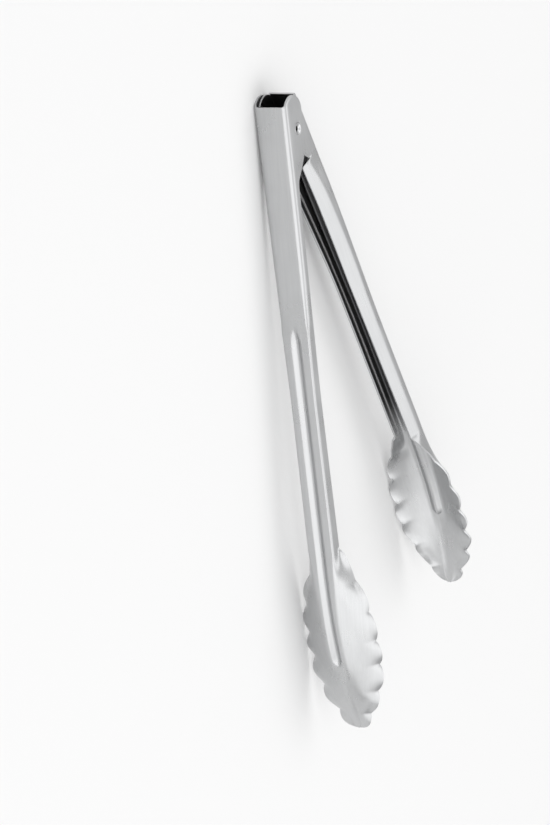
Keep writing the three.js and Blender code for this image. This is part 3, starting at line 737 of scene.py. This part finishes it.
def wire_mesh(name, path, radius):
    """A round wire along a path, with closed ends."""
    verts, faces = [], []
    for i, point in enumerate(path):
        t = path[min(len(path) - 1, i + 1)] - path[max(0, i - 1)]
        t /= np.linalg.norm(t)
        u = np.cross((0, 0, 1.0), t)
        u /= np.linalg.norm(u)
        v = np.cross(t, u)
        for k in range(WIRE_SIDES):
            a = 2 * math.pi * k / WIRE_SIDES
            verts.append(point + radius * (math.cos(a) * u + math.sin(a) * v))
        if i:
            for k in range(WIRE_SIDES):
                a, b = (i - 1) * WIRE_SIDES + k, (i - 1) * WIRE_SIDES + (k + 1) % WIRE_SIDES
                faces.append((a, b, b + WIRE_SIDES, a + WIRE_SIDES))
    faces.append(tuple(reversed(range(WIRE_SIDES))))
    faces.append(tuple(range(len(verts) - WIRE_SIDES, len(verts))))
    ob = new_object(name, to_frame(np.array(verts)), faces)
    recalc(ob)
    return ob


wire_line, spring_top = spring_path()
spring = wire_mesh("spring_coil", wire_line, WIRE / 2)
shade(spring, TURNED_SHARP)
spring.data.materials.append(steel("spring_wire", SPRING_STEEL, rough=0.33, grain=0.6))
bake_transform(spring)
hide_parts("torsion_spring")


# Floor
FLOOR_REACH, FLOOR_COLOUR, FLOOR_ROUGH, FLOOR_GLOSS, FLOOR_GLOW = 9, (0.78, 0.78, 0.78, 1), 0.9, 0.1, 0.04


def make_floor():
    """A pale floor that keeps the object's shadow and glows a little where it is seen."""
    r = FLOOR_REACH
    ob = new_object("floor", [(-r, -r, 0), (r, -r, 0), (r, r, 0), (-r, r, 0)], [(0, 1, 2, 3)])
    tree = Nodes(bpy.data.materials.new("pale_floor"))
    bsdf = tree.nodes["Principled BSDF"].inputs
    path = tree.nodes.new("ShaderNodeLightPath").outputs
    seen = tree.math("MAXIMUM", path["Is Camera Ray"], path["Is Glossy Ray"])
    seen = tree.math("MAXIMUM", seen, path["Is Transmission Ray"])
    tree.put(bsdf["Base Color"], FLOOR_COLOUR)
    tree.put(bsdf["Roughness"], FLOOR_ROUGH)
    tree.put(bsdf["Specular IOR Level"], FLOOR_GLOSS)
    tree.put(bsdf["Emission Color"], (1, 1, 1, 1))
    tree.put(bsdf["Emission Strength"], tree.math("MULTIPLY", seen, FLOOR_GLOW))
    ob.data.materials.append(tree.owner)


make_floor()


# Lamp
def make_lamp(direction, distance, size, power):
    """A square lamp that shines at the object from this direction, in metres and watts."""
    data = bpy.data.lights.new("key", "AREA")
    data.shape = "RECTANGLE"
    data.size = data.size_y = size
    data.energy = power
    ob = bpy.data.objects.new("key", data)
    d = Vector(direction).normalized()
    ob.location = d * distance
    ob.rotation_euler = (-d).to_track_quat("-Z", "Y").to_euler()
    scene.collection.objects.link(ob)


make_lamp(direction=(0.2, -0.5, 0.84), distance=1.5, size=1.2, power=1.8)

# World
# Its brightness depends on the direction. Each row is an axis, a stretch of it, and the values at its ends.
FRONT = ("Y", -0.85, -0.35, 1.0, 0.0)
CEILING = ("Y", -0.3, 0.2, 1.30, 1.58)
HIGH = ("Z", 0.57, 0.67, 0.0, 1.0)
OVERHEAD = ("Z", 0.88, 0.97, 1.0, 0.55)
LOW = ("Z", 0.0, 0.2, 0.9, 1.0)
DARK_BAND = ("Z", 0.05, 0.10, 0.95, 0.0)
BAND_OPENS, BAND_CLOSES = ("X", 0.20, 0.30, 0.0, 1.0), ("X", 0.50, 0.62, 1.0, 0.0)
WALL, BACKDROP = 0.60, 0.93


def make_world():
    """A studio: a bright wall in front and grey ones elsewhere, a light ceiling that dims overhead, and a
    dark band low down with an opening on one side. The camera sees a plain pale backdrop in its place."""
    scene.world = bpy.data.worlds.new("studio")
    tree = Nodes(scene.world)
    axes = tree.nodes.new("ShaderNodeSeparateXYZ")
    tree.put(axes.inputs[0], tree.add("TexCoord", "Generated"))

    def at(row):
        return tree.ramp(axes.outputs[row[0]], *row[1:])

    def times(a, b):
        return tree.math("MULTIPLY", a, b)

    def less(a, b):
        return tree.math("SUBTRACT", a, b)

    wall = tree.math("ADD", at(FRONT), WALL)
    level = tree.math("ADD", wall, times(less(at(CEILING), wall), at(HIGH)))
    level = times(times(level, at(OVERHEAD)), at(LOW))
    opening = times(at(BAND_OPENS), at(BAND_CLOSES))
    level = times(level, less(1.0, times(at(DARK_BAND), less(1.0, opening))))
    seen = tree.add("LightPath", "Is Camera Ray")
    level = tree.math("ADD", times(level, less(1.0, seen)), times(seen, BACKDROP))
    sky = tree.nodes["Background"].inputs
    tree.put(sky["Strength"], level)
    tree.put(sky["Color"], (1, 1, 1, 1))


make_world()
scene.view_settings.view_transform = "Standard"
